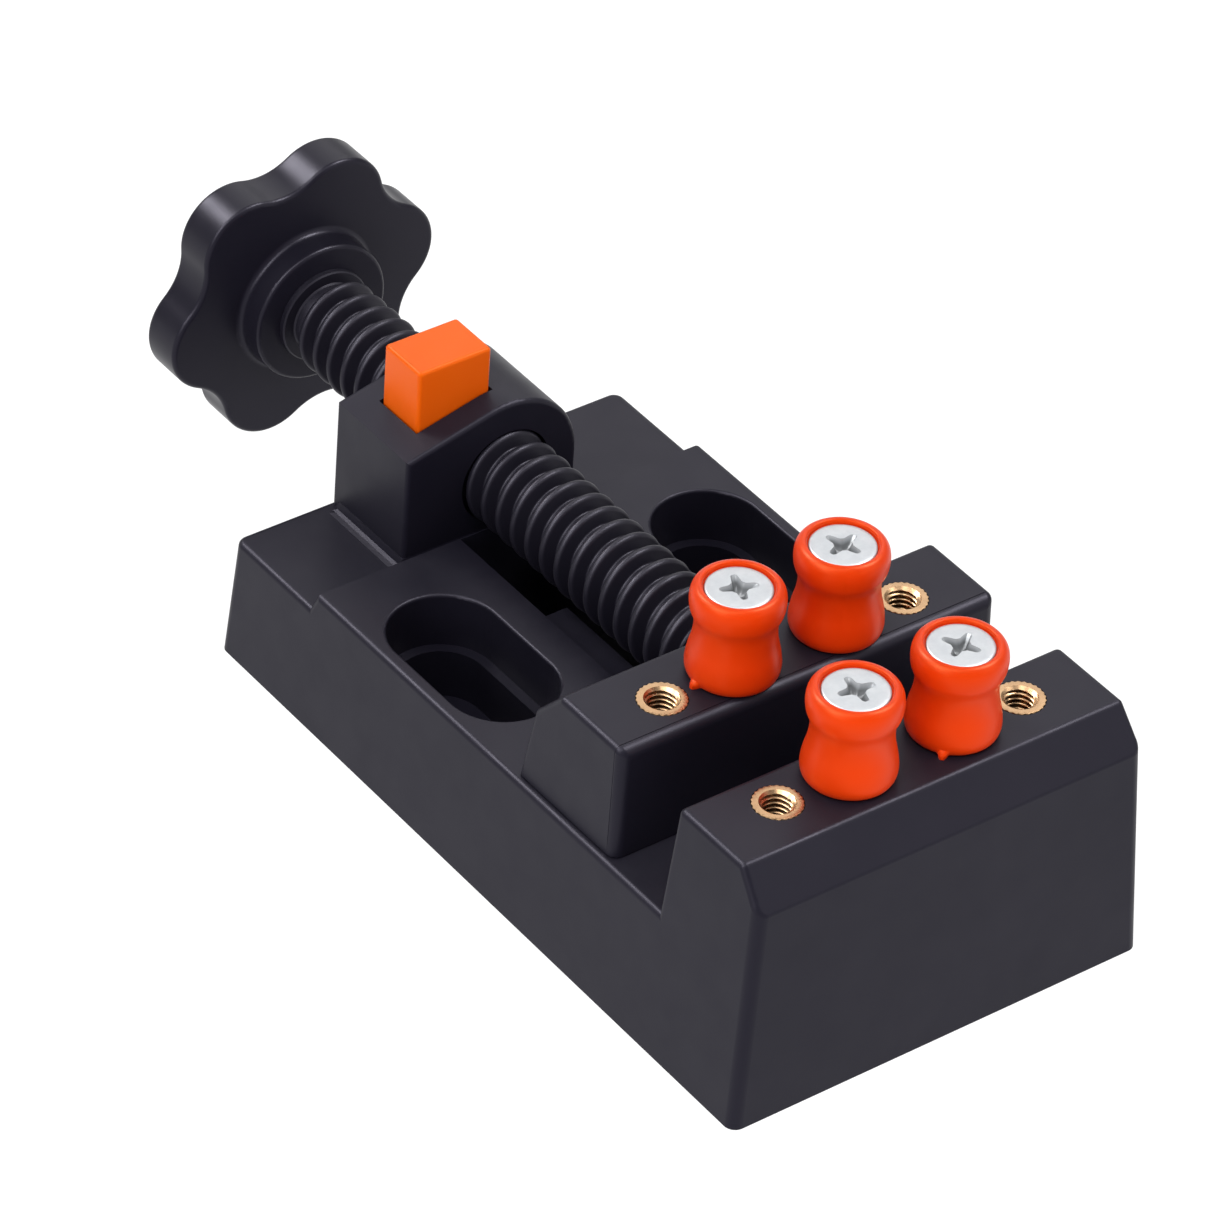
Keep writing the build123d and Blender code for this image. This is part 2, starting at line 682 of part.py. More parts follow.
with BuildPart() as knob_screw:
    drum(KNOB_SCREW_FRONT_Y, KNOB_RECESS_Y, KNOB_SCREW_R)
    drum(KNOB_RECESS_Y, KNOB_RECESS_Y + KNOB_SCREW_HEAD, KNOB_SCREW_HEAD_R)
    fillet(knob_screw.edges().group_by(Axis.Y)[-1], radius=KNOB_SCREW_HEAD / 3)

save(knob_screw, "knob_screw")


# ------------------------------------------------- release button and half nut
with BuildPart() as nut_thread:
    add(
        helical_ridge(
            RIDGE_FRONT_Y + PITCH * (NUT_START_TURN + 0.5),
            NUT_TURNS,
            NUT_MINOR_R,
            NUT_RIDGE_ROOT_R,
            PITCH - ridge_width(NUT_MINOR_R) - NUT_CLEARANCE,
            PITCH - ridge_width(NUT_RIDGE_ROOT_R) - NUT_CLEARANCE,
        )
    )
    block(
        (BUTTON_LEFT_X, BUTTON_FRONT_Y, NUT_BOTTOM_Z),
        (NUT_RIGHT_X, BUTTON_REAR_Y, NUT_TOP_Z),
        Mode.INTERSECT,
    )

with BuildPart() as release_button:
    block(
        (BUTTON_LEFT_X, BUTTON_FRONT_Y, BUTTON_STEP_Z),
        (BUTTON_RIGHT_X, BUTTON_REAR_Y, BUTTON_TOP_Z),
    )
    crown = release_button.edges().group_by(Axis.Z)[-1]
    uprights = release_button.edges().filter_by(Axis.Z)
    fillet(crown + uprights, radius=BUTTON_EDGE_R)
    block(
        (BUTTON_LEFT_X, BUTTON_FRONT_Y, NUT_BOTTOM_Z),
        (STEM_RIGHT_X, BUTTON_REAR_Y, BUTTON_STEP_Z + BUTTON_EDGE_R),
    )
    block(
        (BUTTON_LEFT_X, BUTTON_FRONT_Y, NUT_BOTTOM_Z),
        (NUT_RIGHT_X, BUTTON_REAR_Y, NUT_TOP_Z),
    )
    drum(BUTTON_FRONT_Y, BUTTON_REAR_Y, NUT_MAJOR_R, Mode.SUBTRACT)
    with BuildSketch(facing_front(BUTTON_REAR_Y, SCREW_Z + BUTTON_TRAVEL)):
        Circle(NUT_MAJOR_R)
    extrude(amount=BUTTON_REAR_Y - BUTTON_FRONT_Y, mode=Mode.SUBTRACT)
    add(nut_thread.part)

save(release_button, "release_button")


# ------------------------------------------------ spring, cover and its screws
with BuildPart() as release_spring:
    with BuildLine() as coil:
        Helix(
            (NUT_BOTTOM_Z - COVER_TOP_Z - 2 * SPRING_WIRE_R) / SPRING_TURNS,
            NUT_BOTTOM_Z - COVER_TOP_Z - 2 * SPRING_WIRE_R,
            SPRING_R,
            center=(SPRING_X, HOUSING_MIDDLE_Y, COVER_TOP_Z + SPRING_WIRE_R),
        )
    with BuildSketch(Plane(origin=coil.line @ 0, z_dir=coil.line % 0)):
        Circle(SPRING_WIRE_R)
    sweep(path=coil.line, is_frenet=True)
    block(
        (SPRING_X - COVER_HALF_X, BUTTON_FRONT_Y, COVER_TOP_Z),
        (SPRING_X + COVER_HALF_X, BUTTON_REAR_Y, NUT_BOTTOM_Z),
        Mode.INTERSECT,
    )

save(release_spring, "release_spring")

with BuildPart() as spring_cover:
    block(
        (COVER_X - COVER_HALF_X, HOUSING_MIDDLE_Y - COVER_HALF_Y, COVER_BOTTOM_Z),
        (COVER_X + COVER_HALF_X, HOUSING_MIDDLE_Y + COVER_HALF_Y, COVER_TOP_Z),
    )
    fillet(spring_cover.edges().filter_by(Axis.Z), radius=COVER_CORNER_R)
    with Locations((SPRING_X, HOUSING_MIDDLE_Y, COVER_TOP_Z)):
        Cylinder(SPRING_PIN_R, SPRING_PIN_HEIGHT, align=(Align.CENTER, Align.CENTER, Align.MIN))
    with Locations(*cover_screw_places(COVER_TOP_Z)):
        Cylinder(COVER_SCREW_HOLE_R, 2 * (COVER_TOP_Z - COVER_BOTTOM_Z), mode=Mode.SUBTRACT)

save(spring_cover, "spring_cover")

with BuildPart() as spring_cover_screws:
    with Locations(*cover_screw_places(COVER_BOTTOM_Z)):
        Cylinder(
            COVER_SCREW_R,
            COVER_SCREW_LENGTH,
            align=(Align.CENTER, Align.CENTER, Align.MIN),
        )
        Cylinder(
            COVER_HEAD_R,
            COVER_HEAD_HEIGHT,
            align=(Align.CENTER, Align.CENTER, Align.MAX),
        )
    fillet(spring_cover_screws.edges().group_by(Axis.Z)[0], radius=COVER_HEAD_HEIGHT / 2)
    with Locations(*cover_screw_places(COVER_BOTTOM_Z - COVER_HEAD_HEIGHT)):
        Box(COVER_HEAD_R, COVER_HEAD_HEIGHT / 2, COVER_HEAD_HEIGHT, mode=Mode.SUBTRACT)
        Box(COVER_HEAD_HEIGHT / 2, COVER_HEAD_R, COVER_HEAD_HEIGHT, mode=Mode.SUBTRACT)

save(spring_cover_screws, "spring_cover_screws")


# ------------------------------------------- brass inserts, pegs and peg screws
def upright(place):
    """Vertical plane through an insert centre, with its origin on the jaw's top."""
    return Plane(origin=(*place, JAW_TOP_Z), x_dir=(1, 0, 0), z_dir=(0, -1, 0))


def turned(place, draw_profile):
    """Solid of revolution about the vertical axis through an insert centre."""
    with BuildPart() as piece:
        with BuildSketch(upright(place)) as section:
            with BuildLine():
                draw_profile()
            make_face()
        revolve(section.sketch, axis=Axis((*place, 0), (0, 0, 1)))
    return piece


def insert_profile():
    """Half section of a threaded brass insert."""
    Polyline(
        (INSERT_MINOR_R, -INSERT_LENGTH),
        (INSERT_R, -INSERT_LENGTH),
        (INSERT_R, 0),
        (INSERT_MOUTH_R, 0),
        (INSERT_MINOR_R, -INSERT_MOUTH_DEPTH),
        close=True,
    )


def peg_profile():
    """Half section of a waisted peg with a countersunk seat."""
    edge_z = HEAD_TOP_Z - HEAD_EDGE
    seat_slope = (edge_z - HEAD_FOOT_Z) / (HEAD_R - SHANK_R)
    Spline(
        (PEG_FLANGE_R, PEG_FLANGE_FOOT_Z),
        (PEG_WAIST_R + 0.12, PEG_WAIST_Z + 1.4),
        (PEG_WAIST_R, PEG_WAIST_Z),
        (PEG_WAIST_R + 0.24, PEG_WAIST_Z - 1.8),
        (PEG_BARREL_R, PEG_BARREL_TOP_Z),
        tangents=((0, -1), (0, -1)),
    )
    Polyline(
        (PEG_BARREL_R, PEG_BARREL_TOP_Z),
        (PEG_BARREL_R, PEG_BARREL_FOOT_Z),
        (PEG_FOOT_R, 0),
        (PEG_BORE_R, 0),
        (PEG_BORE_R, HEAD_FOOT_Z + seat_slope * (PEG_BORE_R - SHANK_R)),
        (HEAD_R, edge_z),
        (PEG_RECESS_R, edge_z),
        (PEG_RECESS_R, PEG_HEIGHT),
        (PEG_RIM_R, PEG_HEIGHT),
    )
    SagittaArc(
        (PEG_RIM_R, PEG_HEIGHT), (PEG_FLANGE_R, PEG_FLANGE_TOP_Z), PEG_RIM_R - PEG_FLANGE_R + 0.7
    )
    Line((PEG_FLANGE_R, PEG_FLANGE_TOP_Z), (PEG_FLANGE_R, PEG_FLANGE_FOOT_Z))


def peg_screw_profile():
    """Half section of a countersunk screw, with the thread drawn at its core."""
    Polyline(
        (0, -TAP_DEPTH),
        (TAP_R, -TAP_DEPTH),
        (TAP_R, 0),
        (SHANK_R, 0),
        (SHANK_R, HEAD_FOOT_Z),
        (HEAD_R, HEAD_TOP_Z - HEAD_EDGE),
        (HEAD_R, HEAD_TOP_Z),
        (0, HEAD_TOP_Z),
        close=True,
    )


def peg_screw(place):
    """Countersunk screw with a tapered cross recess."""
    blank = turned(place, peg_screw_profile)
    with BuildPart() as piece:
        add(blank.part)
        with BuildSketch(Plane.XY.offset(JAW_TOP_Z + HEAD_TOP_Z)) as cross:
            with Locations(place):
                Rectangle(RECESS_ARM, RECESS_WIDTH)
                Rectangle(RECESS_WIDTH, RECESS_ARM)
        extrude(cross.sketch, amount=-RECESS_DEPTH, taper=RECESS_TAPER, mode=Mode.SUBTRACT)
    return piece


for jaw, row_y in (("fixed_jaw", FIXED_ROW_Y), ("moving_jaw", MOVING_ROW_Y)):
    places = insert_places(row_y)
    for number, place in enumerate(places, start=1):
        save(turned(place, insert_profile), f"{jaw}_insert_{number}")
    for number, place in enumerate(places[1:3], start=1):
        save(turned(place, peg_profile), f"{jaw}_peg_{number}")
        save(peg_screw(place), f"{jaw}_peg_screw_{number}")
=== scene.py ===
"""Studio scene of a bench holder for watch movements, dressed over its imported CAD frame."""

import json
import math

import bmesh
import bpy
from mathutils import Matrix, Vector


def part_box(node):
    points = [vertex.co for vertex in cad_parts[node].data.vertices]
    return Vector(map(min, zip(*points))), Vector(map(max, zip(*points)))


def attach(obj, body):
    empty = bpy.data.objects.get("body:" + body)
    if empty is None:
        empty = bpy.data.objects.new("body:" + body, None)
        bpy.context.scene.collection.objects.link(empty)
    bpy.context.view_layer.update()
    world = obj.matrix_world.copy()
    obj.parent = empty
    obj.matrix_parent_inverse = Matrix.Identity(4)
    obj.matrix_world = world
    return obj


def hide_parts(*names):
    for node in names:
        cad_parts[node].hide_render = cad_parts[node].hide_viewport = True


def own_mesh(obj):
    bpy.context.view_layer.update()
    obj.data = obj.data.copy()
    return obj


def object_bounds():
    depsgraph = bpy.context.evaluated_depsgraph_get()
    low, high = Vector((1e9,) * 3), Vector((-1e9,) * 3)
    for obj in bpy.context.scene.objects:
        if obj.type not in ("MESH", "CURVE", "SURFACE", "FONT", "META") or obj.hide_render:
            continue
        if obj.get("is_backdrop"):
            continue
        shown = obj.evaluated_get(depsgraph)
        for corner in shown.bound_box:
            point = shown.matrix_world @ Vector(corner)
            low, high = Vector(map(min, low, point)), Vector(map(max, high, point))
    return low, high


MM = 0.001
TURN = 2 * math.pi

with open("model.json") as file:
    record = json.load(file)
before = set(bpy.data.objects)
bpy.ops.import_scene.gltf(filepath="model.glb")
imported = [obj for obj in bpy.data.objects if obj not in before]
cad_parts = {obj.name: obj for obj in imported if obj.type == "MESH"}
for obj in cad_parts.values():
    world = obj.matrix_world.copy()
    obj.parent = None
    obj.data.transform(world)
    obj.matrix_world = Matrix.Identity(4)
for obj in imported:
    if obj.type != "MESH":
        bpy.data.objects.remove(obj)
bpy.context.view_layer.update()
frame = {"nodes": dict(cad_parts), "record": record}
nodes = frame["nodes"]


# ------------------------------------------------------------ sizes, in millimetres
# Heights are above the bench. The screw axis lies along Y, at X 0.
SCREW_Z = 24.8
PITCH = 3.0
CREST_R = 6.2
JAW_TOP = 34.8
HEAD_HEIGHT = 12.06
HEAD_TOP = JAW_TOP + HEAD_HEIGHT


def node_box(name):
    """Lowest and highest corners of a CAD node, in millimetres."""
    low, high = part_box(name)
    return [v / MM for v in low], [v / MM for v in high]


# ------------------------------------------------------------ shader helpers
# Each noise has a scale, in cells per metre, and the span of its values that is stretched out.
DRIFT_SCALE, DRIFT_SPAN = 60.0, (0.3, 0.7)
CLOUD_SCALE, CLOUD_SPAN = 220.0, (0.25, 0.75)
MOTTLE_SCALE, MOTTLE_SPAN = 700.0, (0.35, 0.7)
MARK_SCALE, MARK_SPAN = 2600.0, (0.3, 0.7)
PLASTIC_ROUGH_BAND = (-0.04, 0.05)
METAL_ROUGH_BAND = (-0.06, 0.08)
SUBSURFACE_SPREAD = (1.0, 0.35, 0.1)
SUBSURFACE_DEPTH = 0.9
# Painted shade in the peg screws' cross recess: share of the colour left at full shade, and the
# depths below the head top where the painted shade starts and where it is full.
PAINTED_RECESS_SHADE = 0.4
PAINTED_SHADE_START_DEPTH = 0.1
PAINTED_SHADE_FULL_DEPTH = 0.8


def new_material(name):
    """Empty node material with a Principled shader: (material, nodes, links, shader)."""
    material = bpy.data.materials.new(name)
    material.use_nodes = True
    tree = material.node_tree
    shader = next(n for n in tree.nodes if n.type == "BSDF_PRINCIPLED")
    return material, tree.nodes, tree.links, shader


def noise(tree_nodes, links, source, scale, detail=2.0, roughness=0.5):
    """Noise texture on the given coordinates; returns its value socket."""
    texture = tree_nodes.new("ShaderNodeTexNoise")
    texture.inputs["Scale"].default_value = scale
    texture.inputs["Detail"].default_value = detail
    texture.inputs["Roughness"].default_value = roughness
    links.new(source, texture.inputs["Vector"])
    return texture.outputs["Fac"]


def remap(tree_nodes, links, value, span, out=(0, 1)):
    """Linear remap of a value socket from one span to another, clamped."""
    node = tree_nodes.new("ShaderNodeMapRange")
    for index, number in enumerate((*span, *out), start=1):
        node.inputs[index].default_value = number
    links.new(value, node.inputs[0])
    return node.outputs[0]


def blend_colours(tree_nodes, links, factor, first, second):
    """Mix of two colours by a value socket."""
    node = tree_nodes.new("ShaderNodeMix")
    node.data_type = "RGBA"
    node.inputs["A"].default_value = (*first, 1)
    node.inputs["B"].default_value = (*second, 1)
    links.new(factor, node.inputs["Factor"])
    return node.outputs["Result"]


def bump(tree_nodes, links, height, distance):
    """Bump node of full strength; returns its normal socket."""
    node = tree_nodes.new("ShaderNodeBump")
    node.inputs["Strength"].default_value = 1.0
    node.inputs["Distance"].default_value = distance
    links.new(height, node.inputs["Height"])
    return node.outputs["Normal"]


def around(value, band):
    """Lowest and highest values of a band about a value."""
    return tuple(value + step for step in band)


def plastic(name, colour, tint, rough, grain, grain_size, specular, sheen, glow=0.0):
    """Moulded plastic: slight colour drift, cloudy gloss and fine grain. Sizes in millimetres."""
    material, tree_nodes, links, shader = new_material(name)
    place = tree_nodes.new("ShaderNodeTexCoord").outputs["Object"]
    drift = noise(tree_nodes, links, place, DRIFT_SCALE, 3.0)
    mix = remap(tree_nodes, links, drift, DRIFT_SPAN)
    links.new(blend_colours(tree_nodes, links, mix, colour, tint), shader.inputs["Base Color"])
    fine = noise(tree_nodes, links, place, 1.0 / (grain_size * MM), 2.0, 0.6)
    cloudy = noise(tree_nodes, links, place, CLOUD_SCALE, 3.0)
    band = around(rough, PLASTIC_ROUGH_BAND)
    links.new(remap(tree_nodes, links, cloudy, CLOUD_SPAN, band), shader.inputs["Roughness"])
    links.new(bump(tree_nodes, links, fine, grain * MM), shader.inputs["Normal"])
    shader.inputs["Specular IOR Level"].default_value = specular
    shader.inputs["Specular Tint"].default_value = (*sheen, 1)
    if glow:
        shader.inputs["Subsurface Weight"].default_value = glow
        shader.inputs["Subsurface Radius"].default_value = SUBSURFACE_SPREAD
        shader.inputs["Subsurface Scale"].default_value = SUBSURFACE_DEPTH * MM
    return material


def paint_recess_shade(tree_nodes, links, place, base, colour, heights):
    """Painted shade: blend a base colour into a darker copy between two heights of the object, from
    lit to dark.
    """
    height = tree_nodes.new("ShaderNodeSeparateXYZ")
    links.new(place, height.inputs[0])
    span = tuple(z * MM for z in heights)
    shade = tree_nodes.new("ShaderNodeMix")
    shade.data_type = "RGBA"
    links.new(remap(tree_nodes, links, height.outputs["Z"], span), shade.inputs["Factor"])
    links.new(base, shade.inputs["A"])
    shade.inputs["B"].default_value = (*(v * PAINTED_RECESS_SHADE for v in colour), 1)
    return shade.outputs["Result"]


def metal(name, colour, tint, rough, scratch, metallic=1.0, recess=None):
    """Plated or machined metal with fine marks; recess gives the heights over which shade is
    painted into the hollow, from lit to dark.
    """
    material, tree_nodes, links, shader = new_material(name)
    place = tree_nodes.new("ShaderNodeTexCoord").outputs["Object"]
    mottled = noise(tree_nodes, links, place, MOTTLE_SCALE, 4.0, 0.6)
    mix = remap(tree_nodes, links, mottled, MOTTLE_SPAN)
    base = blend_colours(tree_nodes, links, mix, colour, tint)
    if recess:
        base = paint_recess_shade(tree_nodes, links, place, base, colour, recess)
    links.new(base, shader.inputs["Base Color"])
    marks = noise(tree_nodes, links, place, MARK_SCALE, 3.0, 0.7)
    band = around(rough, METAL_ROUGH_BAND)
    links.new(remap(tree_nodes, links, marks, MARK_SPAN, band), shader.inputs["Roughness"])
    links.new(bump(tree_nodes, links, marks, scratch * MM), shader.inputs["Normal"])
    shader.inputs["Metallic"].default_value = metallic
    return material


COOL_SHEEN = (0.88, 0.84, 1.0)
WARM_SHEEN = (1.0, 0.42, 0.16)
BLACK = plastic(
    "black_moulding", (0.0086, 0.0078, 0.0145), (0.0106, 0.0096, 0.0168),
    rough=0.42, grain=0.006, grain_size=0.22, specular=0.16, sheen=COOL_SHEEN,
)
SCREW_BLACK = plastic(
    "screw_moulding", (0.0080, 0.0072, 0.0130), (0.0094, 0.0085, 0.0146),
    rough=0.44, grain=0.0006, grain_size=0.4, specular=0.24, sheen=COOL_SHEEN,
)
KNOB_BLACK = plastic(
    "knob_moulding", (0.0098, 0.0089, 0.0156), (0.0110, 0.0100, 0.0170),
    rough=0.34, grain=0.0008, grain_size=0.35, specular=0.16, sheen=COOL_SHEEN,
)
PEG_ORANGE = plastic(
    "peg_orange", (0.78, 0.046, 0.0025), (0.73, 0.041, 0.002),
    rough=0.36, grain=0.002, grain_size=0.4, specular=0.30, sheen=WARM_SHEEN, glow=0.1,
)
BUTTON_ORANGE = plastic(
    "button_orange", (0.87, 0.122, 0.003), (0.83, 0.112, 0.002),
    rough=0.42, grain=0.003, grain_size=0.3, specular=0.25, sheen=WARM_SHEEN, glow=0.1,
)
ZINC = metal(
    "zinc_plate", (0.45, 0.465, 0.48), (0.39, 0.405, 0.425),
    rough=0.46, scratch=0.004, metallic=0.45,
)
# Peg screw heads: shade is painted into the cross recess, darker with depth below the head top.
PEG_ZINC = metal(
    "peg_screw_zinc", (0.41, 0.425, 0.44), (0.355, 0.37, 0.39),
    rough=0.46, scratch=0.004, metallic=0.45,
    recess=(HEAD_TOP - PAINTED_SHADE_START_DEPTH, HEAD_TOP - PAINTED_SHADE_FULL_DEPTH),
)
BRASS = metal("brass", (0.37, 0.235, 0.13), (0.31, 0.192, 0.105), rough=0.30, scratch=0.001)
SPRING_STEEL = metal(
    "spring_wire", (0.45, 0.45, 0.47), (0.36, 0.36, 0.38), rough=0.3, scratch=0.003
)

FINISH = {
    "base_body": BLACK,
    "moving_jaw": BLACK,
    "spring_cover": BLACK,
    "lead_screw": SCREW_BLACK,
    "knob": KNOB_BLACK,
    "release_button": BUTTON_ORANGE,
    "release_spring": SPRING_STEEL,
    "screw_retainer": SPRING_STEEL,
    "spring_cover_screws": ZINC,
    "knob_screw": ZINC,
}


def finish_of(name):
    """Material of a CAD node."""
    for part, material in (("insert", BRASS), ("peg_screw", PEG_ZINC), ("peg", PEG_ORANGE)):
        if "jaw_" + part in name:
            return material
    return FINISH[name]


for name, node in nodes.items():
    node.data.materials.clear()
    node.data.materials.append(finish_of(name))


# ------------------------------------------------------------ mesh helpers
MERGE_DISTANCE = 1e-7
SHARP_ANGLE = math.radians(35)


def raw_object(name, verts, faces, offset=(0, 0, 0)):
    """Closed mesh object from points in millimetres, without material or frame entries."""
    mesh = bpy.data.meshes.new(name)
    mesh.from_pydata([[(v + d) * MM for v, d in zip(p, offset)] for p in verts], [], faces)
    mesh.validate()
    work = bmesh.new()
    work.from_mesh(mesh)
    bmesh.ops.remove_doubles(work, verts=work.verts, dist=MERGE_DISTANCE)
    bmesh.ops.recalc_face_normals(work, faces=work.faces)
    work.to_mesh(mesh)
    work.free()
    thing = bpy.data.objects.new(name, mesh)
    bpy.context.collection.objects.link(thing)
    return thing


def dress(piece, material, body, replaced):
    """Material, shading, body and hidden CAD node of a finished object."""
    piece.data.materials.clear()
    piece.data.materials.append(material)
    piece.data.shade_smooth()
    piece.data.set_sharp_from_angle(angle=SHARP_ANGLE)
    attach(piece, body)
    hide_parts(replaced)


def add_piece(name, verts, faces, material, body, slot, replaced, offset=(0, 0, 0)):
    """Smooth-shaded mesh object in millimetres that rides on a body and replaces a CAD node."""
    piece = raw_object(name, verts, faces, offset)
    dress(piece, material, body, replaced)
    return piece


def lathe(profile, segments, shape=None):
    """Closed solid of revolution about Z: (verts, faces). shape(angle, r, z) may move a point."""
    verts, faces = [], []
    count = len(profile)
    for step in range(segments):
        angle = TURN * step / segments
        for r, z in profile:
            if shape:
                r, z = shape(angle, r, z)
            verts.append((r * math.cos(angle), r * math.sin(angle), z))
    for step in range(segments):
        here, there = step * count, (step + 1) % segments * count
        for k in range(count):
            nxt = (k + 1) % count
            faces.append((here + k, there + k, there + nxt, here + nxt))
    return verts, faces


def curve_value(p, q, r, s, t):
    """Catmull-Rom value at share t of the way from q to r."""
    slope = (r - p) * t
    square = (2 * p - 5 * q + 4 * r - s) * t**2
    cube = (3 * q - p - 3 * r + s) * t**3
    return 0.5 * (2 * q + slope + square + cube)


def smooth_points(points, steps):
    """Catmull-Rom curve through 2-D points, with the given steps between two of them."""
    padded = [points[0], *points, points[-1]]
    curve = []
    for a, b, c, d in zip(padded, padded[1:], padded[2:], padded[3:]):
        for step in range(steps):
            curve.append(tuple(curve_value(*near, step / steps) for near in zip(a, b, c, d)))
    curve.append(points[-1])
    return curve


# ------------------------------------------------------------ pegs
# Points are (radius, height above the jaw top), up the waisted outside and down the bore.
PEG_CURVE = (
    (5.00, 0.0), (5.36, 0.3), (5.57, 0.8), (5.65, 1.4), (5.61, 2.1), (5.49, 2.9), (5.32, 3.7),
    (5.12, 4.5), (4.98, 5.3), (4.90, 6.1), (4.88, 6.8), (4.92, 7.4), (5.02, 7.9), (5.20, 8.4),
    (5.39, 8.85), (5.53, 9.3), (5.61, 9.8), (5.65, 10.4), (5.62, 11.0), (5.48, 11.6),
    (5.20, 12.05), (4.85, 12.32), (4.50, 12.4), (4.30, 12.3), (4.2, 12.1),
)
PEG_SEAT = ((4.2, 11.75), (4.1, 11.75), (2.15, 9.76), (2.15, 0.0))
NUB_HALF_ANGLE = 0.1
NUB_HEIGHT = 0.95
NUB_R = 6.15
PEG_SHELL_R = 4.15
SEAM_HEIGHT = 0.03
SEAM_HALF_ANGLE = 0.03
SEAM_FOOT_Z = 0.3
PEG_SEGMENTS = 160
PEG_CURVE_STEPS = 3


def peg_shape(nub_angle, seam_angle):
    """Shape function that adds a gate nub at the foot and a faint parting line."""

    def shape(angle, r, z):
        if r < PEG_SHELL_R:
            return r, z
        off_seam = (angle - seam_angle + math.pi) % TURN - math.pi
        r += SEAM_HEIGHT * math.exp(-((off_seam / SEAM_HALF_ANGLE) ** 2)) * (z > SEAM_FOOT_Z)
        if nub_angle is not None and z < NUB_HEIGHT:
            turn = (angle - nub_angle + math.pi) % TURN - math.pi
            share = math.exp(-((turn / NUB_HALF_ANGLE) ** 4)) * (1 - (z / NUB_HEIGHT) ** 4)
            r += share * (NUB_R - r)
        return r, z

    return shape


# Directions of each peg's gate nub, if one shows, and of its parting line, in radians.
PEGS = {
    "fixed_jaw_peg_1": (None, 0.9),
    "fixed_jaw_peg_2": (-2.44, 1.2),
    "moving_jaw_peg_1": (-3.11, 0.6),
    "moving_jaw_peg_2": (None, -2.13),
}


def middle(name):
    """Centre of a CAD node in plan, in millimetres."""
    low, high = node_box(name)
    return (low[0] + high[0]) / 2, (low[1] + high[1]) / 2


def body_of(name):
    """Body a CAD node belongs to."""
    bodies = frame["record"]["behaviour"]["bodies"]
    return next(body for body, members in bodies.items() if name in members)


for name, (nub_angle, seam_angle) in PEGS.items():
    profile = [*smooth_points(PEG_CURVE, PEG_CURVE_STEPS), *PEG_SEAT]
    verts, faces = lathe(profile, PEG_SEGMENTS, peg_shape(nub_angle, seam_angle))
    add_piece(
        name + "_moulding", verts, faces, PEG_ORANGE, body_of(name), "orange_plastic", name,
        (*middle(name), JAW_TOP),
    )


# ------------------------------------------------------------ brass inserts
# Heights are above the jaw top; the thread gives its radii over one pitch.
INSERT_TOP = 0.1
INSERT_FOOT = -8.0
INSERT_MOUTH_R = 2.2
INSERT_MOUTH_SLOPE = 1.3
INSERT_R = 3.05
INSERT_RIM_R = 2.9
INSERT_RIM = ((INSERT_MOUTH_R, 0), (2.4, 0.01), (2.8, 0.01), (2.98, -0.03), (INSERT_R, -0.14))
INSERT_RIM_SINK = 0.01
KNURLS = 26
KNURL_DEPTH = 0.07
INSERT_PITCH = 0.7
INSERT_THREAD = (1.70, 1.66, 1.66, 1.70, 1.80, 1.92, 2.04, 2.12, 2.16, 2.16, 2.12, 2.04, 1.92, 1.80)


def insert_mesh():
    """Knurled tube with a helical internal thread: (verts, faces)."""
    segments = 4 * KNURLS
    share = len(INSERT_THREAD)
    rows = math.ceil((INSERT_TOP - INSERT_FOOT) / INSERT_PITCH + 1) * share
    verts, faces = [], []
    for step in range(segments):
        turned = step / segments
        bore = []
        for row in range(rows + 1):
            z = INSERT_FOOT + INSERT_PITCH * (row / share + turned - 1)
            z = min(max(z, INSERT_FOOT), INSERT_TOP)
            mouth = INSERT_MOUTH_R - INSERT_MOUTH_SLOPE * min(INSERT_TOP - z, z - INSERT_FOOT)
            bore.append((max(INSERT_THREAD[row % share], mouth), z))
        knurl = KNURL_DEPTH * math.cos(TURN * KNURLS * turned)
        wall = [
            (r + knurl * (r > INSERT_RIM_R), INSERT_TOP + z - INSERT_RIM_SINK)
            for r, z in INSERT_RIM
        ]
        column = [*bore, *wall, (INSERT_R + knurl, INSERT_FOOT)]
        angle = TURN * turned
        verts += [(r * math.cos(angle), r * math.sin(angle), z) for r, z in column]
    count = rows + 2 + len(INSERT_RIM)
    for step in range(segments):
        here, there = step * count, (step + 1) % segments * count
        shift = share if step == segments - 1 else 0
        for k in range(rows):
            low, high = min(k + shift, rows), min(k + 1 + shift, rows)
            faces.append((here + k, there + low, there + high, here + k + 1))
        for k in range(rows, count):
            nxt = (k + 1) % count
            faces.append((here + k, there + k, there + nxt, here + nxt))
    return verts, faces


insert_shape = insert_mesh()
for name in nodes:
    if "_insert_" in name:
        place = (*middle(name), JAW_TOP)
        add_piece(name + "_knurled", *insert_shape, BRASS, body_of(name), "brass", name, place)


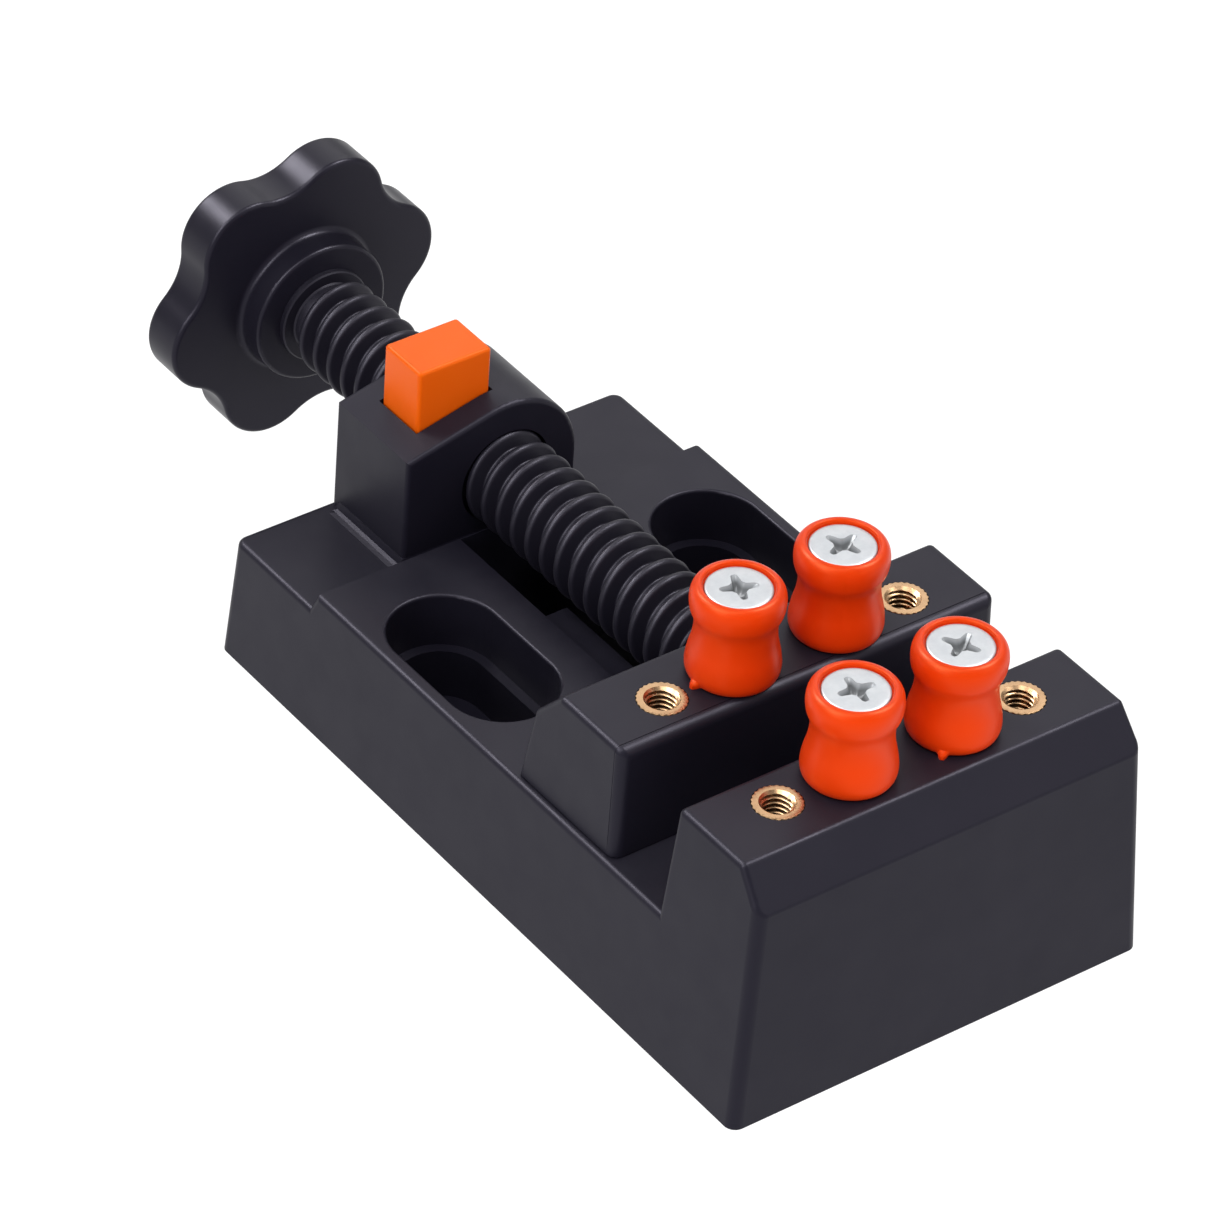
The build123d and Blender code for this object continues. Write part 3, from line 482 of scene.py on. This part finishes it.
# ------------------------------------------------------------ lead screw
def helical_thread(front_y, turns, profile, segments, front_fade, rear_fade):
    """Closed thread body about the screw axis; the profile spans one pitch as (share, radius)."""
    verts, faces = [], []
    lines = len(profile)
    total = round(turns * segments)
    base = min(r for _, r in profile)
    for share, radius in profile:
        for step in range(total + 1):
            angle = TURN * step / segments
            y = front_y + PITCH * (share + step / segments)
            fade = min(1.0, step / (front_fade * segments), (total - step) / (rear_fade * segments))
            r = base + (radius - base) * (3 * fade**2 - 2 * fade**3)
            verts.append((r * math.sin(angle), y, SCREW_Z + r * math.cos(angle)))

    def at(line, step):
        if line == lines:
            return step + segments
        return line * (total + 1) + step

    for line in range(lines):
        last = total if line < lines - 1 else total - segments
        for step in range(last):
            after = step + 1
            faces.append((at(line, step), at(line, after), at(line + 1, after), at(line + 1, step)))
    final = lines - 1
    front_rim = [at(0, step) for step in range(segments + 1)]
    front_rim += [at(line, 0) for line in range(final, 0, -1)]
    rear_rim = [at(final, step) for step in range(total - segments, total + 1)]
    rear_rim += [at(line, total) for line in range(final - 1, -1, -1)]
    for rim in (front_rim, rear_rim):
        centre_y = sum(verts[i][1] for i in rim) / len(rim)
        verts.append((0, centre_y, SCREW_Z))
        for a, b in zip(rim, rim[1:] + rim[:1]):
            faces.append((a, b, len(verts) - 1))
    return verts, faces


# The crest's middle is a share of the pitch, its rounding is in millimetres and degrees, and the
# root's points are (distance from the middle, radius). The fades are in turns at the thread's ends.
THREAD_MID = 0.47
THREAD_ROUND_R = 0.55
THREAD_ROUND_END = 75
THREAD_ROUND_STEPS = 5
THREAD_ROOT = ((0.84, 4.62), (0.90, 4.49), (0.98, 4.42), (1.1, 4.4), (1.35, 4.4))


def thread_profile():
    """One ridge with a rounded crest and steep flanks, as (share of the pitch, radius)."""
    half = []
    for step in range(THREAD_ROUND_STEPS + 1):
        angle = math.radians(THREAD_ROUND_END * step / THREAD_ROUND_STEPS)
        drop = THREAD_ROUND_R * (1 - math.cos(angle))
        half.append((THREAD_ROUND_R * math.sin(angle), CREST_R - drop))
    half += THREAD_ROOT
    before = [(THREAD_MID - y / PITCH, r) for y, r in reversed(half)]
    return before + [(THREAD_MID + y / PITCH, r) for y, r in half[1:]]


THREAD_FRONT_Y = -7.38
THREAD_TURNS = 26.4
THREAD_FRONT_FADE = 0.6
THREAD_REAR_FADE = 0.2
ROUND_SEGMENTS = 96
verts, faces = helical_thread(
    THREAD_FRONT_Y, THREAD_TURNS, thread_profile(), ROUND_SEGMENTS,
    THREAD_FRONT_FADE, THREAD_REAR_FADE,
)
add_piece("screw_thread", verts, faces, SCREW_BLACK, "screw", "screw_plastic", "lead_screw")


def along_screw(verts):
    """Turn a lathe's Z axis onto the screw axis, +Z towards the knob."""
    return [(y, z, SCREW_Z + x) for x, y, z in verts]


# Outlines of the plain ends as (radius, place along Y).
SCREW_ENDS = {
    "screw_collar": (
        (0.0, 72.0), (4.6, 72.0), (4.72, 72.2), (4.72, 74.3), (4.9, 74.5), (6.2, 74.52),
        (6.38, 74.68), (6.38, 75.36), (3.4, 75.36), (3.4, 81.9), (0.0, 81.9),
    ),
    "screw_journal": (
        (0.0, -15.75), (3.7, -15.75), (4.0, -15.45), (4.0, -13.42), (2.8, -13.4), (2.8, -12.2),
        (4.0, -12.18), (4.0, -7.7), (4.7, -7.55), (4.7, -6.0), (0.0, -6.0),
    ),
}
for name, profile in SCREW_ENDS.items():
    verts, faces = lathe(profile, ROUND_SEGMENTS)
    add_piece(name, along_screw(verts), faces, SCREW_BLACK, "screw", "screw_plastic", "lead_screw")


# ------------------------------------------------------------ release spring
SPRING_TURNS = 5.5
SPRING_WIRE_R = 0.29
SPRING_MARGIN = 0.01
SPRING_SEGMENTS = 48
WIRE_SIDES = 12


def coil(radius, wire_r, turns, low_z, high_z, segments):
    """Closed round-wire helix about Z between two heights: (verts, faces)."""
    verts, faces = [], []
    total = round(turns * segments)
    for step in range(total + 1):
        angle = TURN * step / segments
        z = low_z + wire_r + (high_z - low_z - 2 * wire_r) * step / total
        for side in range(WIRE_SIDES):
            around = TURN * side / WIRE_SIDES
            r = radius + wire_r * math.cos(around)
            verts.append((r * math.cos(angle), r * math.sin(angle), z + wire_r * math.sin(around)))
    for step in range(total):
        here, there = step * WIRE_SIDES, (step + 1) * WIRE_SIDES
        for side in range(WIRE_SIDES):
            nxt = (side + 1) % WIRE_SIDES
            faces.append((here + side, there + side, there + nxt, here + nxt))
    faces.append(tuple(range(WIRE_SIDES)))
    faces.append(tuple(range(total * WIRE_SIDES, (total + 1) * WIRE_SIDES)))
    return verts, faces


low, high = node_box("release_spring")
spring_r = (high[0] - low[0]) / 2 - SPRING_WIRE_R - SPRING_MARGIN
verts, faces = coil(spring_r, SPRING_WIRE_R, SPRING_TURNS, low[2], high[2], SPRING_SEGMENTS)
spring = add_piece(
    "release_spring_coil", verts, faces, SPRING_STEEL, body_of("release_spring"), "spring_steel",
    "release_spring", (*middle("release_spring"), 0),
)
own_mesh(spring)


# ------------------------------------------------------------ countersunk peg screws
# Outline as (radius, height above the jaw top); the recess narrows by level as (height, share).
HEAD_PROFILE = (
    (0.0, HEAD_HEIGHT), (2.4, 12.055), (3.4, 12.04), (3.75, 12.01), (3.92, 11.95),
    (4.0, 11.84), (4.0, 11.7), (3.85, 11.5), (2.0, 9.6), (2.0, 0.0), (1.6, -0.2),
    (1.6, -6.3), (1.3, -6.5), (0.0, -6.5),
)
RECESS_LEVELS = ((12.3, 1.03), (12.05, 1.0), (11.9, 0.93), (11.2, 0.72), (10.7, 0.5), (10.5, 0.25))
RECESS_TIP = 2.35
RECESS_TIP_HALF = 0.42
RECESS_ROOT_HALF = 0.60
RECESS_CORE = 1.0
RECESS_TIP_ROUND = 0.25
# Turn of each cross about its screw, in degrees.
HEAD_TURNS = {
    "fixed_jaw_peg_screw_1": -8.0,
    "fixed_jaw_peg_screw_2": 28.0,
    "moving_jaw_peg_screw_1": -20.0,
    "moving_jaw_peg_screw_2": 17.0,
}


def cross_cutter(turn):
    """Tapered cross with a wide root, as (verts, faces), turned in degrees."""
    ring = []
    for arm in range(4):
        base = math.radians(turn + 90 * arm)
        for along, across in (
            (RECESS_CORE, -RECESS_ROOT_HALF),
            (RECESS_TIP - RECESS_TIP_ROUND, -RECESS_TIP_HALF),
            (RECESS_TIP, -RECESS_TIP_HALF * 0.5),
            (RECESS_TIP, RECESS_TIP_HALF * 0.5),
            (RECESS_TIP - RECESS_TIP_ROUND, RECESS_TIP_HALF),
            (RECESS_CORE, RECESS_ROOT_HALF),
        ):
            ring.append(
                (
                    along * math.cos(base) - across * math.sin(base),
                    along * math.sin(base) + across * math.cos(base),
                )
            )
    verts = [(x * share, y * share, z) for z, share in RECESS_LEVELS for x, y in ring]
    count = len(ring)
    faces = [tuple(range(count)), tuple(range(len(verts) - count, len(verts)))]
    for level in range(len(RECESS_LEVELS) - 1):
        for k in range(count):
            here, nxt = level * count + k, level * count + (k + 1) % count
            faces.append((here, nxt, nxt + count, here + count))
    return verts, faces


def cut(target, cutter):
    """Subtract the cutter from the target for good and drop the cutter."""
    modifier = target.modifiers.new("cut", "BOOLEAN")
    modifier.operation = "DIFFERENCE"
    modifier.solver = "EXACT"
    modifier.object = cutter
    graph = bpy.context.evaluated_depsgraph_get()
    result = bpy.data.meshes.new_from_object(target.evaluated_get(graph))
    target.modifiers.clear()
    target.data = result
    bpy.data.objects.remove(cutter)


for name, turn in HEAD_TURNS.items():
    place = (*middle(name), JAW_TOP)
    head = raw_object(name + "_phillips", *lathe(HEAD_PROFILE, ROUND_SEGMENTS), place)
    cutter = raw_object("cutter", *cross_cutter(turn), place)
    cut(head, cutter)
    dress(head, PEG_ZINC, body_of(name), name)


# ------------------------------------------------------------ stage, light and camera
# The floor's half width is in metres and the inset of its dark patch in millimetres.
FLOOR_GLOW = 0.92
FLOOR_SHADE = 0.15
FLOOR_ROUGH = 0.9
WORLD_GLOW = 0.4
FLOOR_HALF = 3.0
FOOTPRINT_INSET = 1.0


def floor_sheet(name, verts, faces, glow):
    """Flat pale sheet in metres, optionally glowing."""
    mesh = bpy.data.meshes.new(name)
    mesh.from_pydata(verts, [], faces)
    sheet = bpy.data.objects.new(name, mesh)
    bpy.context.collection.objects.link(sheet)
    material, _, _, shader = new_material(name + "_paper")
    shader.inputs["Base Color"].default_value = (FLOOR_SHADE, FLOOR_SHADE, FLOOR_SHADE, 1)
    shader.inputs["Roughness"].default_value = FLOOR_ROUGH
    if glow:
        shader.inputs["Emission Color"].default_value = (1, 1, 1, 1)
        shader.inputs["Emission Strength"].default_value = glow
    mesh.materials.append(material)
    sheet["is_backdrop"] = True


def pale_floor():
    """Light table around the base, and an unlit patch under it."""
    low, high = node_box("base_body")
    low_x, low_y = ((v + FOOTPRINT_INSET) * MM for v in low[:2])
    high_x, high_y = ((v - FOOTPRINT_INSET) * MM for v in high[:2])
    inner = [(low_x, low_y, 0), (high_x, low_y, 0), (high_x, high_y, 0), (low_x, high_y, 0)]
    outer = [(-FLOOR_HALF, -FLOOR_HALF, 0), (FLOOR_HALF, -FLOOR_HALF, 0)]
    outer += [(FLOOR_HALF, FLOOR_HALF, 0), (-FLOOR_HALF, FLOOR_HALF, 0)]
    ring = [(k, (k + 1) % 4, 4 + (k + 1) % 4, 4 + k) for k in range(4)]
    floor_sheet("floor", outer + inner, ring, FLOOR_GLOW)
    floor_sheet("floor_under_base", inner, [(0, 1, 2, 3)], 0)


def area_light(name, place, aim, size, power):
    """Square soft light aimed at a point; places and size in metres, power in watts."""
    lamp = bpy.data.lights.new(name, "AREA")
    lamp.size = size
    lamp.energy = power
    thing = bpy.data.objects.new(name, lamp)
    thing.location = place
    thing.rotation_euler = (Vector(aim) - Vector(place)).to_track_quat("-Z", "Y").to_euler()
    bpy.context.collection.objects.link(thing)
    return thing


# Angles of the view in degrees, its place and lens in millimetres, its reach in metres.
VIEW_AZIMUTH = -38.77175
VIEW_ELEVATION = 38.09190
VIEW_ROLL = 4.152335
VIEW_FROM = (-397.7425, -481.8516, 516.5459)
LENS = 198.12
SENSOR_WIDTH = 36
CLIP_END = 20


def make_camera():
    """Camera at the picture's viewing angle."""
    az, el, roll = (math.radians(a) for a in (VIEW_AZIMUTH, VIEW_ELEVATION, VIEW_ROLL))
    back = Vector((math.sin(az) * math.cos(el), -math.cos(az) * math.cos(el), math.sin(el)))
    right = Vector((math.cos(az), math.sin(az), 0))
    up = back.cross(right)
    right, up = (
        right * math.cos(roll) + up * math.sin(roll),
        up * math.cos(roll) - right * math.sin(roll),
    )
    lens = bpy.data.cameras.new("camera")
    lens.lens = LENS
    lens.sensor_width = SENSOR_WIDTH
    lens.clip_end = CLIP_END
    camera = bpy.data.objects.new("camera", lens)
    place = Matrix.Translation(Vector(VIEW_FROM) * MM)
    camera.matrix_world = place @ Matrix((right, up, back)).transposed().to_4x4()
    bpy.context.collection.objects.link(camera)
    bpy.context.scene.camera = camera


pale_floor()
make_camera()
world = bpy.data.worlds.new("studio")
world.use_nodes = True
sky = world.node_tree.nodes["Background"]
sky.inputs["Color"].default_value = (1, 1, 1, 1)
sky.inputs["Strength"].default_value = WORLD_GLOW
bpy.context.scene.world = world

# Each light has its place and size in metres and its power in watts. The edge lights reach
# only gloss, so that rounded black edges get their bright lines without paler faces.
TARGET = (0, 0, 0.02)
SOFT_LIGHTS = {
    "back_panel": ((0.72, 0.9, 0.92), 1.1, 7.0),
    "front_panel": ((0.62, -0.86, 0.56), 0.8, 3.2),
    "overhead": ((-0.35, -0.25, 1.2), 0.6, 7.0),
    "left_panel": ((-0.9, -0.25, 0.45), 0.5, 3.0),
}
EDGE_LIGHTS = {
    "edge_left": ((-0.79, 0.06, 0.9), 0.6, 17.0),
    "edge_right": ((0.59, -0.18, 1.03), 0.45, 19.0),
    "edge_back": ((-0.36, 0.72, 0.84), 0.4, 17.0),
}
for name, (place, size, power) in SOFT_LIGHTS.items():
    area_light(name, place, TARGET, size, power)
for name, (place, size, power) in EDGE_LIGHTS.items():
    area_light(name, place, TARGET, size, power).visible_diffuse = False
bpy.context.scene.view_settings.view_transform = "Standard"

low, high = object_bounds()
